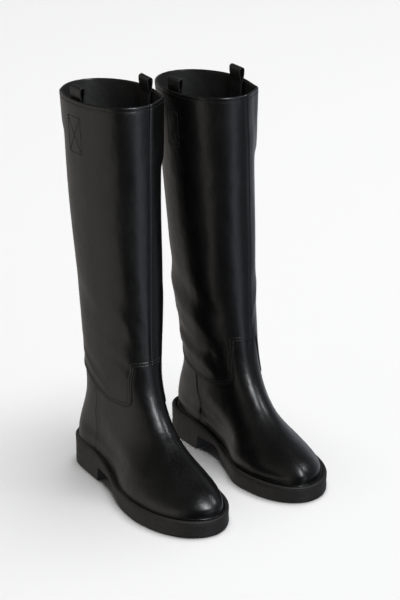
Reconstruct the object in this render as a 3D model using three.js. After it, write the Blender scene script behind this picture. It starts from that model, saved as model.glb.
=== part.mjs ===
// A pair of pull-on knee boots: leather uppers over a moulded rubber unit sole.
// Millimetres, +Z up, toes towards -Y, the wearer's right boot on the -X side.
// Every boot is drawn in its own frame: x towards its outer side, v forward from the heel, z up.

import * as THREE from 'three';

// ---- driving dimensions -------------------------------------------------------------------
const SOLE_LENGTH = 284;
const CENTRE_LINE_X = 69.7;        // each boot's centre line from the middle of the pair
const HEEL_SEAT_Z = 38;            // top of the sole under the heel
const FOREPART_Z = 20.9;           // top of the sole under the toes
const ANKLE_Z = 150;               // the shaft leans from this height upward
const TOPLINE_Z = 479;

// How each boot stands. Its shaft's top leans outward and forward; its foot is set aside
// (outward), ahead and turned in radians under the shaft, which bends the ankle softly.
const POSTURES = {
  right: { outward: -12.9, forward: -11.4, aside: 7, ahead: 9, turned: -0.02 },
  left: { outward: -8.2, forward: 14.6, aside: 3, ahead: 0, turned: 0.01 },
};
const TURNING_V = 60;              // the foot turns about this place
const STANCE_FADES = 5.5;          // ring above which the shaft no longer follows the foot

// Layers of the upper, as depths under its outer surface.
const UPPER_LEATHER = [0, 1.8];
const STIFFENER = [2.5, 3.3];
const LINING = [4.1, 4.9];
const SEAM_TAPE = [2.3, 2.8];
const SHAFT_LINING = [3.4, 4.2];
const JOINT_GAP = 0.3;

// Bottom parts, as thicknesses.
const WELT_THICKNESS = 3.3;
const BEAD_HEIGHT = 2.2;
const INSOLE_THICKNESS = 2.6;
const INSOCK_THICKNESS = 3;
const HEEL_BREAST_V = 86;          // front face of the heel
const HEEL_FREE_HEIGHT = 18;       // heel breast, floor to shank
const ARCH = [70, 150];            // the foot bed slopes down between these places
const ARCH_FALLS = [110, 175];     // the arch's underside comes down to the tread
const SHANK = { from: 34, to: 144, halfWidth: 7, thickness: 1.6, lift: 0.6 };

// Pull loops: a leather band, sewn down inside the topline, with a free arch above it.
const LOOP_WIDTH = 24;
const LOOP_BAND = 1.5;
const LOOP_OUTER_DEPTH = 7.6;      // across both legs of the arch
const LOOP_TOP = 13.5;             // arch above the topline
const LOOP_LIFT = 3;               // underside of the free arch above the topline
const LOOP_SEWN = [10.32, 10.94];  // ring levels of the sewn-down legs
const LOOP_DEPTH = [5.6, 8.6];     // both legs together, under the outer surface

// Lines plan of the upper: one ring for each level, from the feather edge to the topline.
// back and front are [v, z]; outer and inner are half widths; nose and tail are the rounding
// lengths at the front and the back of the ring.
const RINGS = [
  { back: [8.5, 40.6], front: [278.5, 23], outer: 51, inner: 41.3, nose: 72, tail: 42 },
  { back: [7.5, 50], front: [279.9, 33], outer: 48, inner: 40.5, nose: 78, tail: 42 },
  { back: [8.6, 61], front: [267.5, 46], outer: 42.1, inner: 35.8, nose: 98, tail: 40 },
  { back: [14.3, 74], front: [240.6, 58], outer: 38.4, inner: 33.6, nose: 122, tail: 39 },
  { back: [20.9, 89], front: [205.6, 74], outer: 36.7, inner: 32.9, nose: 114, tail: 42 },
  { back: [26.2, 105], front: [174.9, 101], outer: 37, inner: 32, nose: 88, tail: 44 },
  { back: [26.5, 124], front: [154.8, 136], outer: 38.1, inner: 33.6, nose: 64, tail: 48 },
  { back: [22, 149], front: [147.1, 172], outer: 40.2, inner: 38.7, nose: 58, tail: 54 },
  { back: [15.3, 198], front: [142.1, 217], outer: 41.4, inner: 44, nose: 58, tail: 56 },
  { back: [3.3, 280], front: [136.5, 288], outer: 45.8, inner: 48.4, nose: 62, tail: 62 },
  { back: [-9.7, 374], front: [130.8, 378], outer: 49.3, inner: 51.4, nose: 65, tail: 65 },
  { back: [-21.8, 477], front: [128.6, TOPLINE_Z], outer: 52.6, inner: 54.2, nose: 70, tail: 70 },
];
const TOPLINE = RINGS.length - 1;
const FOOT_PLAN_FADES = 4.6;       // ring by which the foot's plan shape has faded out

// Sole outline: half widths at fractions of the length.
const SOLE_STATIONS = [0, 0.08, 0.16, 0.3, 0.42, 0.55, 0.7, 0.82, 0.92, 1];
const SOLE_OUTER = [35, 35, 37, 40, 45, 54.5, 59, 54.5, 52.5, 52];
const SOLE_INNER = [34.5, 35, 37, 36.5, 33, 41, 52, 49, 48, 47];
const SOLE_ROUNDING = { back: 36, toe: 66 };   // lengths over which its ends round off

// Plan shape of the foot: width taken off the plain rings, [v, width]. It fades out up the boot.
const NARROWING = {
  outer: [[12, 12.2], [45, 15.8], [75, 17], [100, 15.6], [125, 11.4], [150, 4.2], [180, -1.4],
    [260, -1.6]],
  inner: [[12, 12.2], [45, 10.3], [75, 9.2], [100, 11.8], [125, 13.8], [150, 8.2], [180, -1.4],
    [215, 0.3], [260, 7.9]],
};
const TOE_SWING = { inward: 5, from: 150, to: 275 };

// Seams, as places round a ring: 0 at the back, 0.5 at the front of either side.
const COUNTER_SEAM = 0.185;
const TONGUE_SIDE = 0.4;
const TONGUE_TOP = 6.8;            // ring levels
const SHAFT_SPLIT = 7.2;           // the ankle leather flexes below this level
const PANEL_EDGE = {               // lower edge of the shaft panels: [place, ring level]
  outer: [[0, 6.1], [0.1, 6.15], [0.19, 6.1], [0.24, 5.65], [0.3, 5.4], [0.36, 5.45], [0.5, 5.8]],
  inner: [[0, 6.1], [0.1, 5.75], [0.16, 5.45], [0.2, 5.25], [0.26, 4.98], [0.34, 5.05], [0.5, 5.7]],
};

// ---- materials ----------------------------------------------------------------------------
const finish = (color, roughness, metalness = 0) =>
  new THREE.MeshStandardMaterial({ color, roughness, metalness });
const leather = () => finish(0x1b1a1a, 0.38);
const liningCloth = () => finish(0x201e1d, 0.85);
const rubber = () => finish(0x2b2725, 0.7);
const fibreboard = () => finish(0x8a6f52, 0.9);
const cork = () => finish(0x9c7a50, 0.95);
const steel = () => finish(0x8f9296, 0.35, 1);

// ---- surface of the upper -----------------------------------------------------------------
const clamp01 = (value) => Math.min(1, Math.max(0, value));
const smooth = (from, to, value) => {
  const part = clamp01((value - from) / (to - from));
  return part * part * (3 - 2 * part);
};
const roundedEnd = (part) => Math.sqrt(1 - (1 - clamp01(part)) ** 2);

function through(table, place) {   // straight lines through [place, value] pairs
  let index = 0;
  while (index < table.length - 2 && place > table[index + 1][0]) index += 1;
  const [from, low] = table[index];
  const [to, high] = table[index + 1];
  return low + (high - low) * clamp01((place - from) / (to - from));
}

const ringValues = RINGS.map((ring) =>
  [...ring.back, ...ring.front, ring.outer, ring.inner, ring.nose, ring.tail]);

function ringAt(level) {           // Catmull-Rom between the rings
  const index = Math.min(TOPLINE - 1, Math.max(0, Math.floor(level)));
  const part = level - index;
  const ring = (k) => {
    if (k < 0) return ringValues[0].map((value, c) => 2 * value - ringValues[1][c]);
    if (k > TOPLINE) {
      return ringValues[TOPLINE].map((value, c) => 2 * value - ringValues[TOPLINE - 1][c]);
    }
    return ringValues[k];
  };
  const [a, b, c, d] = [ring(index - 1), ring(index), ring(index + 1), ring(index + 2)];
  return b.map((_, k) => 0.5 * (2 * b[k] + (c[k] - a[k]) * part
    + (2 * a[k] - 5 * b[k] + 4 * c[k] - d[k]) * part ** 2
    + (3 * b[k] - a[k] - 3 * c[k] + d[k]) * part ** 3));
}

function ringX(v, isOuter, [backV, , frontV, , outer, inner, nose, tail], foot) {
  let width = isOuter ? outer : inner;
  width -= foot * through(isOuter ? NARROWING.outer : NARROWING.inner, v);
  width *= roundedEnd((frontV - v) / nose) * roundedEnd((v - backV) / tail);
  const swing = foot * TOE_SWING.inward * smooth(TOE_SWING.from, TOE_SWING.to, v);
  return (isOuter ? width : -width) - swing;
}

function stood(x, v, { aside, ahead, turned }, share) {
  // [x, v] of a place after the foot's own displacement, or a share of it.
  const [cosine, sine] = [Math.cos(turned * share), Math.sin(turned * share)];
  const fromTurning = v - TURNING_V;
  return [
    cosine * x + sine * fromTurning + aside * share,
    cosine * fromTurning - sine * x + TURNING_V + ahead * share,
  ];
}

function upperPoint(around, level, posture) {
  // around: 0 back, 0.25 outer side, 0.5 front, 0.75 inner side
  const turn = ((around % 1) + 1) % 1;
  const isOuter = turn <= 0.5;
  const half = isOuter ? turn : 1 - turn;
  const ring = ringAt(level);
  const [backV, backZ, frontV, frontZ] = ring;
  const along = (1 - Math.cos(2 * Math.PI * half)) / 2;
  const v = backV + (frontV - backV) * along;
  const foot = 1 - smooth(0, FOOT_PLAN_FADES, level);
  const rise = along + foot * (smooth(...ARCH, v) - along);
  const z = backZ + (frontZ - backZ) * rise;
  const leaning = Math.max(0, z - ANKLE_Z) / (TOPLINE_Z - ANKLE_Z);
  const follows = 1 - smooth(0, STANCE_FADES, level);
  const [x, standingV] = stood(ringX(v, isOuter, ring, foot), v, posture, follows);
  return new THREE.Vector3(
    x + posture.outward * leaning,
    standingV + posture.forward * leaning,
    z,
  );
}

function upperNormal(around, level, posture) {
  const [aroundStep, levelStep] = [0.002, 0.016];
  const alongRing = upperPoint(around + aroundStep, level, posture)
    .sub(upperPoint(around - aroundStep, level, posture));
  const upward = upperPoint(around, level + levelStep, posture)
    .sub(upperPoint(around, level - levelStep, posture));
  return alongRing.cross(upward).normalize();
}

const under = (around, level, depth, posture) =>
  upperPoint(around, level, posture).addScaledVector(upperNormal(around, level, posture), -depth);

// ---- closed bodies ------------------------------------------------------------------------
function bodyFrom(points, faces) {
  const geometry = new THREE.BufferGeometry();
  geometry.setAttribute('position',
    new THREE.Float32BufferAttribute(points.flatMap((p) => [p.x, p.y, p.z]), 3));
  geometry.setIndex(faces);
  return geometry;
}

function loft(sections, closed) {
  // Joins equal sections, each a closed outline of points; ends are capped unless it closes.
  const count = sections[0].length;
  const faces = [];
  const last = closed ? sections.length : sections.length - 1;
  for (let i = 0; i < last; i += 1) {
    const j = (i + 1) % sections.length;
    for (let k = 0; k < count; k += 1) {
      const next = (k + 1) % count;
      const [a, b] = [i * count + k, i * count + next];
      const [c, d] = [j * count + k, j * count + next];
      // outer and inner face split their quads along the same diagonal, so they stay parallel
      faces.push(...(k < count / 2 ? [a, b, d, a, d, c] : [a, b, c, b, d, c]));
    }
  }
  if (!closed) {
    const end = (sections.length - 1) * count;
    for (let k = 0; k < count / 2 - 1; k += 1) {     // strips across, from one side to the other
      const [a, b] = [k, k + 1];
      const [c, d] = [count - 1 - k, count - 2 - k];
      faces.push(a, d, b, a, c, d);
      faces.push(end + a, end + b, end + d, end + a, end + d, end + c);
    }
  }
  return bodyFrom(sections.flat(), faces);
}

// Columns used by every layer, so that the layers keep their distance from each other.
const HALF_COLUMNS = [0, 0.05, 0.1, 0.145, COUNTER_SEAM, 0.235, 0.285, 0.335, 0.37, TONGUE_SIDE,
  0.43, 0.465];
const ALL_COLUMNS = [...HALF_COLUMNS, 0.5,
  ...HALF_COLUMNS.slice(1).map((place) => 1 - place).reverse()];
const SEAM_SHIFT = 0.0012;         // half a seam's gap, as a share of the ring
const COLUMN_CLEARANCE = 0.006;    // shared columns nearer than this to an end are left out
const LEVEL_CLEARANCE = 0.05;      // the same for rows

function columnsBetween(from, to) {
  const inside = [-1, 0, 1]
    .flatMap((turn) => ALL_COLUMNS.map((column) => column + turn))
    .filter((column) => column > from + COLUMN_CLEARANCE && column < to - COLUMN_CLEARANCE);
  return [from + SEAM_SHIFT, ...inside, to - SEAM_SHIFT];
}

function levelsBetween(from, to, evenAbove, evenRows) {
  // Whole levels, which every layer shares; even rows above the given level.
  const top = evenAbove ?? to;
  const whole = RINGS.map((_, k) => k)
    .filter((k) => k > from + LEVEL_CLEARANCE && k < top - LEVEL_CLEARANCE);
  const even = evenAbove === undefined ? [] : Array.from({ length: evenRows }, (_, k) =>
    evenAbove + ((to - evenAbove) * k) / evenRows);
  return [from, ...whole, ...even.filter((level) => level > from), to];
}

function shell(columns, levelsAt, depths, posture, closed = false) {
  // A layer of the upper; each column climbs the outer face and comes back down the inner one.
  const [shallow, deep] = depths;
  const sections = columns.map((around) => {
    const climb = levelsAt(around);
    return [
      ...climb.map((level) => under(around, level, shallow, posture)),
      ...climb.reverse().map((level) => under(around, level, deep, posture)),
    ];
  });
  return loft(sections, closed);
}

// ---- plans of the bottom ------------------------------------------------------------------
const soleTop = (v) => HEEL_SEAT_Z + (FOREPART_Z - HEEL_SEAT_Z) * smooth(...ARCH, v);
const NARROWEST = 0.6;             // half width left at the very ends of a plan

function solePlan(inset) {         // [outer x, inner x] of the sole, drawn in by an inset
  const shrink = (SOLE_LENGTH / 2 - inset) / (SOLE_LENGTH / 2);
  const halfWidth = (v, widths) => {
    const table = SOLE_STATIONS.map((part, k) => [part * SOLE_LENGTH, widths[k]]);
    const rounding = roundedEnd(v / SOLE_ROUNDING.back)
      * roundedEnd((SOLE_LENGTH - v) / SOLE_ROUNDING.toe);
    return Math.max(NARROWEST, through(table, v) * rounding - inset);
  };
  const edges = (v) => {
    const source = (v - SOLE_LENGTH / 2) / shrink + SOLE_LENGTH / 2;
    return [halfWidth(source, SOLE_OUTER), -halfWidth(source, SOLE_INNER)];
  };
  return { from: inset, to: SOLE_LENGTH - inset, edges };
}

function featherPlan(inset) {      // the same for the upper's lower edge
  const [backV, , frontV] = ringValues[0];
  const middleV = (backV + frontV) / 2;
  const shrink = (frontV - middleV - inset) / (frontV - middleV);
  const edges = (v) => {
    const source = (v - middleV) / shrink + middleV;
    const [outer, inner] = [true, false].map((side) => ringX(source, side, ringValues[0], 1));
    const middleX = (outer + inner) / 2;
    const half = Math.max(NARROWEST, (outer - inner) / 2 - inset);
    return [middleX + half, middleX - half];
  };
  return { from: backV + inset, to: frontV - inset, edges };
}

const ARCH_STATIONS = Array.from({ length: 10 }, (_, k) => HEEL_BREAST_V - 10 + 10 * k);

function stationsAlong(from, to) {
  // Every layer shares the stations of the arch, so that sloping layers stay parallel.
  const eased = (start, end, count) => Array.from({ length: count }, (_, k) =>
    start + (end - start) * (1 - Math.cos((Math.PI / 2) * (k / count))));
  const arch = ARCH_STATIONS.filter((v) => v > from && v < to - 1);
  const rear = from < arch[0] ? eased(from, arch[0], 7) : [];
  const front = eased(to, arch[arch.length - 1], 9).reverse();
  return [...rear, ...arch, ...front];
}

function plateSections({ from, to, edges }, bottom, top, stations = stationsAlong(from, to)) {
  return stations.map((v) => {
    const [outerX, innerX] = edges(v);
    return [
      new THREE.Vector3(outerX, v, bottom(v)),
      new THREE.Vector3(outerX, v, top(v)),
      new THREE.Vector3(innerX, v, top(v)),
      new THREE.Vector3(innerX, v, bottom(v)),
    ];
  });
}

const plate = (plan, bottom, top) => loft(plateSections(plan, bottom, top), false);

function outlineOf({ from, to, edges }) {
  const steps = stationsAlong(from, to);
  const [outer, inner] = [0, 1].map((side) =>
    steps.map((v) => new THREE.Vector2(edges(v)[side], v)));
  return [...outer, ...inner.reverse()];
}

function band(outsidePlan, insidePlan, bottom, top) {
  // A strip that runs all the way round, between two plans.
  const inside = outlineOf(insidePlan);
  const sections = outlineOf(outsidePlan).map((edge, k) => {
    const inner = inside[k];
    return [
      new THREE.Vector3(edge.x, edge.y, bottom(edge.y)),
      new THREE.Vector3(edge.x, edge.y, top(edge.y)),
      new THREE.Vector3(inner.x, inner.y, top(inner.y)),
      new THREE.Vector3(inner.x, inner.y, bottom(inner.y)),
    ];
  });
  return loft(sections, true);
}

// ---- pieces of one boot -------------------------------------------------------------------
const panelEdge = (around) => {
  const turn = ((around % 1) + 1) % 1;
  const isOuter = turn <= 0.5;
  const half = isOuter ? turn : 1 - turn;
  if (half > TONGUE_SIDE) return TONGUE_TOP;
  return through(isOuter ? PANEL_EDGE.outer : PANEL_EDGE.inner, half);
};
const EDGE_GAP = 0.03;             // ring levels between two pieces that meet
const STEP = 0.003;                // half the run of the step at the side of the tongue
const STEP_GAP = 0.004;            // the vamp's step stays this far clear of the panels
const FOOT_LEVEL = 4;              // rows are whole levels up to here

const steppedColumns = (from, to) => columnsBetween(from, to).flatMap((around) => {
  const half = Math.min(Math.abs(around), Math.abs(1 - around));
  return Math.abs(half - TONGUE_SIDE) > 0.001 ? [around] : [around - STEP, around + STEP];
});

function vamp(posture) {
  const inward = (around) => (around < 0.5 ? STEP_GAP : -STEP_GAP);
  const columns = steppedColumns(COUNTER_SEAM, 1 - COUNTER_SEAM);
  const top = (around) => panelEdge(around) - EDGE_GAP;
  const moved = (around) => (panelEdge(around) === TONGUE_TOP
    || panelEdge(around + 2 * inward(around)) === TONGUE_TOP ? inward(around) : 0);
  const place = new Map(columns.map((around) => [around + moved(around), top(around)]));
  return shell([...place.keys()],
    (around) => levelsBetween(0, place.get(around), FOOT_LEVEL, 3), UPPER_LEATHER, posture);
}

const heelCounter = (posture) => shell(columnsBetween(-COUNTER_SEAM, COUNTER_SEAM),
  (around) => levelsBetween(0, panelEdge(around) - EDGE_GAP, FOOT_LEVEL, 2), UPPER_LEATHER, posture);

const anklePanel = (from, to) => (posture) => shell(steppedColumns(from, to),
  (around) => levelsBetween(panelEdge(around), SHAFT_SPLIT - 0.01, panelEdge(around), 3),
  UPPER_LEATHER, posture);

const layer = (columns, from, to, depths, closed = false) => (posture) =>
  shell(columns, () => levelsBetween(from, to), depths, posture, closed);

const shaftPanel = (from, to) =>
  layer(columnsBetween(from, to), SHAFT_SPLIT, TOPLINE, UPPER_LEATHER);

const lining = (from, to, depths) => layer(ALL_COLUMNS, from, to, depths, true);

const toePuff = layer(columnsBetween(0.37, 0.63), 0.1, 3.2, STIFFENER);
const counterStiffener = layer(columnsBetween(-0.145, 0.145), 0.1, 4.2, STIFFENER);
const backSeamTape = layer([-0.05, 0, 0.05], SHAFT_SPLIT + 0.1, 10.4, SEAM_TAPE);

function unitSole() {
  // One moulding: tread, arch, heel and side wall.
  const plan = solePlan(0);
  const underside = (v) => (v < HEEL_BREAST_V ? 0
    : HEEL_FREE_HEIGHT * (1 - smooth(...ARCH_FALLS, v)));
  const top = (v) => soleTop(v) - WELT_THICKNESS - JOINT_GAP;
  const stations = stationsAlong(plan.from, plan.to)
    .flatMap((v) => (v === HEEL_BREAST_V ? [v - 0.02, v] : [v]));
  return loft(plateSections(plan, underside, top, stations), false);
}

const raised = (height) => (v) => soleTop(v) + height;

const welt = () => band(solePlan(0.8), featherPlan(4), raised(-WELT_THICKNESS), raised(0));

const randBead = () => band(featherPlan(-4.6), featherPlan(-2.3), raised(JOINT_GAP),
  raised(JOINT_GAP + BEAD_HEIGHT));

const insoleBoard = () => plate(featherPlan(7.5), raised(JOINT_GAP),
  raised(JOINT_GAP + INSOLE_THICKNESS));

const insock = () => plate(featherPlan(9.8), raised(INSOLE_THICKNESS + 2 * JOINT_GAP),
  raised(INSOLE_THICKNESS + INSOCK_THICKNESS + 2 * JOINT_GAP));

function corkFiller() {            // fills the hollow inside the welt, under the ball of the foot
  const { edges, to } = featherPlan(5);
  return plate({ from: ARCH[1] - 1, to, edges }, raised(-WELT_THICKNESS),
    raised(-JOINT_GAP));
}

function steelShank() {            // a stiff strip that carries the arch
  const { from, to, halfWidth, thickness, lift } = SHANK;
  return plate({ from, to, edges: () => [halfWidth, -halfWidth] },
    raised(lift - WELT_THICKNESS), raised(lift + thickness - WELT_THICKNESS));
}

const LOOP_HALF_TURN = 0.0256;     // half the band's width as a share of the ring

const loopTab = (around) => layer([around - LOOP_HALF_TURN, around, around + LOOP_HALF_TURN],
  ...LOOP_SEWN, LOOP_DEPTH);

function placeInLoopFrame(geometry, around, posture) {
  // geometry: x along the topline, y towards the inside of the shaft, z up from the topline
  const level = TOPLINE - 0.05;
  const inward = upperNormal(around, level, posture).setZ(0).normalize().negate();
  const middle = upperPoint(around, level, posture)
    .addScaledVector(inward, (LOOP_DEPTH[0] + LOOP_DEPTH[1]) / 2);
  const alongTopline = new THREE.Vector3(inward.y, -inward.x, 0);
  const matrix = new THREE.Matrix4().makeBasis(alongTopline, inward, new THREE.Vector3(0, 0, 1));
  matrix.setPosition(middle.x, middle.y, TOPLINE_Z);
  return geometry.applyMatrix4(matrix);
}

const loopArch = (around) => (posture) => {
  const half = LOOP_OUTER_DEPTH / 2;
  const innerHalf = half - LOOP_BAND;
  const outline = new THREE.Shape();
  outline.moveTo(-half, LOOP_LIFT);
  outline.lineTo(-half, LOOP_TOP - half);
  outline.absarc(0, LOOP_TOP - half, half, Math.PI, 0, true);
  outline.lineTo(half, LOOP_LIFT);
  outline.lineTo(innerHalf, LOOP_LIFT);
  outline.lineTo(innerHalf, LOOP_TOP - half);
  outline.absarc(0, LOOP_TOP - half, innerHalf, 0, Math.PI, false);
  outline.lineTo(-innerHalf, LOOP_LIFT);
  outline.closePath();
  const geometry = new THREE.ExtrudeGeometry(outline,
    { depth: LOOP_WIDTH, bevelEnabled: false, curveSegments: 6 });
  geometry.translate(0, 0, -LOOP_WIDTH / 2);
  // outline x becomes the inward direction, its y becomes height, the depth runs along the topline
  geometry.applyMatrix4(new THREE.Matrix4().makeBasis(
    new THREE.Vector3(0, 1, 0), new THREE.Vector3(0, 0, 1), new THREE.Vector3(1, 0, 0)));
  return placeInLoopFrame(geometry, around, posture);
};

const OUTER_LOOP = 0.252;
const INNER_LOOP = 0.748;
const FACING_LEVEL = 10.55;

const standing = (shape) => (posture) => {
  // The bottom moves with the foot as a whole.
  const geometry = shape();
  const position = geometry.getAttribute('position');
  for (let k = 0; k < position.count; k += 1) {
    position.setXY(k, ...stood(position.getX(k), position.getY(k), posture, 1));
  }
  return geometry;
};

const PIECES = {
  unit_sole: [standing(unitSole), rubber],
  welt: [standing(welt), leather],
  rand_bead: [standing(randBead), leather],
  cork_filler: [standing(corkFiller), cork],
  steel_shank: [standing(steelShank), steel],
  insole_board: [standing(insoleBoard), fibreboard],
  insock: [standing(insock), liningCloth],
  vamp: [vamp, leather],
  heel_counter: [heelCounter, leather],
  toe_puff: [toePuff, fibreboard],
  counter_stiffener: [counterStiffener, fibreboard],
  foot_lining: [lining(0.15, 4.7, LINING), liningCloth],
  ankle_lining: [lining(4.75, SHAFT_SPLIT - 0.01, LINING), liningCloth],
  ankle_panel_outer: [anklePanel(0, 0.5), leather],
  ankle_panel_inner: [anklePanel(0.5, 1), leather],
  shaft_panel_outer: [shaftPanel(0, 0.5), leather],
  shaft_panel_inner: [shaftPanel(0.5, 1), leather],
  shaft_lining: [lining(SHAFT_SPLIT, FACING_LEVEL - 0.005, SHAFT_LINING), liningCloth],
  topline_facing: [lining(FACING_LEVEL, TOPLINE - 0.01, SHAFT_LINING), leather],
  back_seam_tape: [backSeamTape, liningCloth],
  loop_tab_outer: [loopTab(OUTER_LOOP), leather],
  loop_tab_inner: [loopTab(INNER_LOOP), leather],
  loop_arch_outer: [loopArch(OUTER_LOOP), leather],
  loop_arch_inner: [loopArch(INNER_LOOP), leather],
};

// ---- the pair -----------------------------------------------------------------------------
function flipFaces(geometry) {
  const index = geometry.getIndex();
  for (let k = 0; k < index.count; k += 3) {
    const first = index.getX(k);
    index.setX(k, index.getX(k + 1));
    index.setX(k + 1, first);
  }
}

function enclosedVolume(geometry) {
  const at = geometry.getAttribute('position');
  const index = geometry.getIndex();
  const corner = [new THREE.Vector3(), new THREE.Vector3(), new THREE.Vector3()];
  let total = 0;
  for (let k = 0; k < index.count; k += 3) {
    corner.forEach((point, c) => point.fromBufferAttribute(at, index.getX(k + c)));
    total += corner[0].dot(corner[1].cross(corner[2])) / 6;
  }
  return total;
}

function place(geometry, side) {   // boot frame to the pair's frame
  const sign = side === 'right' ? -1 : 1;
  const solid = geometry.getIndex() ? geometry : withIndex(geometry);
  solid.deleteAttribute('normal');
  solid.deleteAttribute('uv');
  const matrix = new THREE.Matrix4().makeScale(sign, -1, 1);
  matrix.setPosition(sign * CENTRE_LINE_X, SOLE_LENGTH / 2, 0);
  solid.applyMatrix4(matrix);
  if (enclosedVolume(solid) < 0) flipFaces(solid);
  return solid;
}

function withIndex(geometry) {
  const count = geometry.getAttribute('position').count;
  geometry.setIndex(Array.from({ length: count }, (_, k) => k));
  return geometry;
}

const pair = new THREE.Group();
for (const side of ['right', 'left']) {
  const boot = new THREE.Group();
  for (const [name, [shape, material]] of Object.entries(PIECES)) {
    const mesh = new THREE.Mesh(place(shape(POSTURES[side]), side), material());
    mesh.name = `${side}_${name}`;
    boot.add(mesh);
  }
  pair.add(boot);
}

// The origin is on the floor, in the middle of the pair's plan.
const extent = new THREE.Box3().setFromObject(pair, true);
const middle = extent.getCenter(new THREE.Vector3());
pair.position.set(-middle.x, -middle.y, -extent.min.z);
pair.updateMatrixWorld(true);

export default pair;
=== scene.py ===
# A pair of pull-on knee boots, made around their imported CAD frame.
# Each boot is drawn in its own frame in millimetres: x towards its outer side, v forward from
# the heel, z up. to_world() puts it into the frame's metres.

import math

import bmesh
import bpy
import numpy as np
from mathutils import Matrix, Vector


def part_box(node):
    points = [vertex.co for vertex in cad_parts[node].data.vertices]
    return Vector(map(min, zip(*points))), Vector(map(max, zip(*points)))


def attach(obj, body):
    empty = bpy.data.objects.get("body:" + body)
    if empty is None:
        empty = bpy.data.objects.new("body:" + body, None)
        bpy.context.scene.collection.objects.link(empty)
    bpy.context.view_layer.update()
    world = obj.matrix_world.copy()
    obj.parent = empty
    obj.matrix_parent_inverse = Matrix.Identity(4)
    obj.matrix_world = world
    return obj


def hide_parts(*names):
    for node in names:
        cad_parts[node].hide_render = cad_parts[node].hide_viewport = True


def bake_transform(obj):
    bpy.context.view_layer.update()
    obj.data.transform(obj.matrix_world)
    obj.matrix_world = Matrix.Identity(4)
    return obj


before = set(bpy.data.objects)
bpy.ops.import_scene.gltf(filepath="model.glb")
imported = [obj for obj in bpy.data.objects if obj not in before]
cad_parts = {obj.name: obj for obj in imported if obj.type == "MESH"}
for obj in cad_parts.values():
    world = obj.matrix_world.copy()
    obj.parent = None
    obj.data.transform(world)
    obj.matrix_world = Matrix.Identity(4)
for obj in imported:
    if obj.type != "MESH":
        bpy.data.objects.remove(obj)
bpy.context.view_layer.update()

MM = 0.001
FAR = 1e9
SAME_PLACE = 1e-6
SIDES = ("right", "left")

# ---- sizes of the boots, in millimetres ----
HEEL_SEAT_Z = 38
FOREPART_Z = 20.9
ARCH = (70, 150)
ANKLE_Z = 150
TOPLINE_Z = 479
SOLE_LENGTH = 284
SHANK = (34, 144)
LEAN = {"right": (-12.9, -11.4), "left": (-8.2, 14.6)}  # outward and forward at the topline
# The foot stands a little aside (outward), ahead and turned, in radians, under its shaft.
STANCE = {"right": (7, 9, -0.02), "left": (3, 0, 0.01)}
TURNING_V = 60
STANCE_FADES = 5.5  # level
LEATHER = 1.3
WELT_THICKNESS = 3.3

# Lines plan of the upper, from the feather edge to the topline:
# back v, back z, front v, front z, outer half width, inner half width, nose and tail lengths
RINGS = np.array([
    [8.5, 40.6, 278.5, 23, 51, 41.3, 72, 42],
    [7.5, 50, 279.9, 33, 48, 40.5, 78, 42],
    [8.6, 61, 267.5, 46, 42.1, 35.8, 98, 40],
    [14.3, 74, 240.6, 58, 38.4, 33.6, 122, 39],
    [20.9, 89, 205.6, 74, 36.7, 32.9, 114, 42],
    [26.2, 105, 174.9, 101, 37, 32, 88, 44],
    [26.5, 124, 154.8, 136, 38.1, 33.6, 64, 48],
    [22, 149, 147.1, 172, 40.2, 38.7, 58, 54],
    [15.3, 198, 142.1, 217, 41.4, 44, 58, 56],
    [3.3, 280, 136.5, 288, 45.8, 48.4, 62, 62],
    [-9.7, 374, 130.8, 378, 49.3, 51.4, 65, 65],
    [-21.8, 477, 128.6, 479, 52.6, 54.2, 70, 70],
], float)
TOPLINE = len(RINGS) - 1
FOOT_FADES = 4.6  # level
TOE_SHIFT = 5  # towards the inner side
TOE_SHIFTS = (150, 275)
# Width taken off the plain rings by the foot's plan shape: v, width.
NARROWING = {
    "outer": [(12, 12.2), (45, 15.8), (75, 17), (100, 15.6), (125, 11.4), (150, 4.2),
              (180, -1.4), (260, -1.6)],
    "inner": [(12, 12.2), (45, 10.3), (75, 9.2), (100, 11.8), (125, 13.8), (150, 8.2),
              (180, -1.4), (215, 0.3), (260, 7.9)],
}

# Seams. A place is 0 at the back of the boot and 0.5 at its front, round either half. A level
# counts rings.
PANEL_EDGE = {  # lower edge of the shaft panels: place, level
    "outer": [(0, 6.62), (0.1, 6.55), (0.15, 6.46), (0.185, 6.27), (0.208, 5.97), (0.233, 5.7),
              (0.261, 5.5), (0.294, 5.38), (0.331, 5.37), (0.375, 5.4), (0.5, 5.4)],
    "inner": [(0, 6.62), (0.06, 6.3), (0.1, 5.96), (0.156, 5.47), (0.197, 5.22), (0.231, 5.03),
              (0.257, 4.98), (0.33, 5.14), (0.38, 5.3), (0.5, 5.4)],
}
TONGUE_SIDE = {  # level, place
    "outer": [(5, 0.372), (5.5, 0.38), (5.92, 0.395), (6.36, 0.407), (6.8, 0.424), (8, 0.43),
              (11.3, 0.43)],
    "inner": [(5, 0.378), (5.4, 0.388), (5.7, 0.402), (6.34, 0.424), (6.8, 0.438), (8, 0.44),
              (11.3, 0.44)],
}
TONGUE_TOP = {"right": 6.8, "left": 6.86}
FRONT_SEAM = {  # level, place round the whole boot
    "right": [(5, 0.5), (7.1, 0.501), (9.2, 0.521), (10.5, 0.528), (11.3, 0.536)],
    "left": [(5, 0.47), (7.1, 0.467), (9.6, 0.46), (11.3, 0.482)],
}
COUNTER_SEAM = {  # level, place
    "outer": [(-0.5, 0.165), (0, 0.165), (1.9, 0.169), (3.84, 0.186), (5.15, 0.212), (7, 0.24)],
    "inner": [(-0.5, 0.18), (0, 0.181), (1.7, 0.187), (3.56, 0.2), (4.85, 0.214), (7, 0.236)],
}
ANKLE_LEVEL = 6.2
CORNER_RADIUS = 9  # lower corner of a shaft panel, beside the tongue
LAP_WIDTH = 9  # leather that runs on under the piece above it
BELOW_FEATHER = -0.3  # level where the leather ends under the foot
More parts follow.
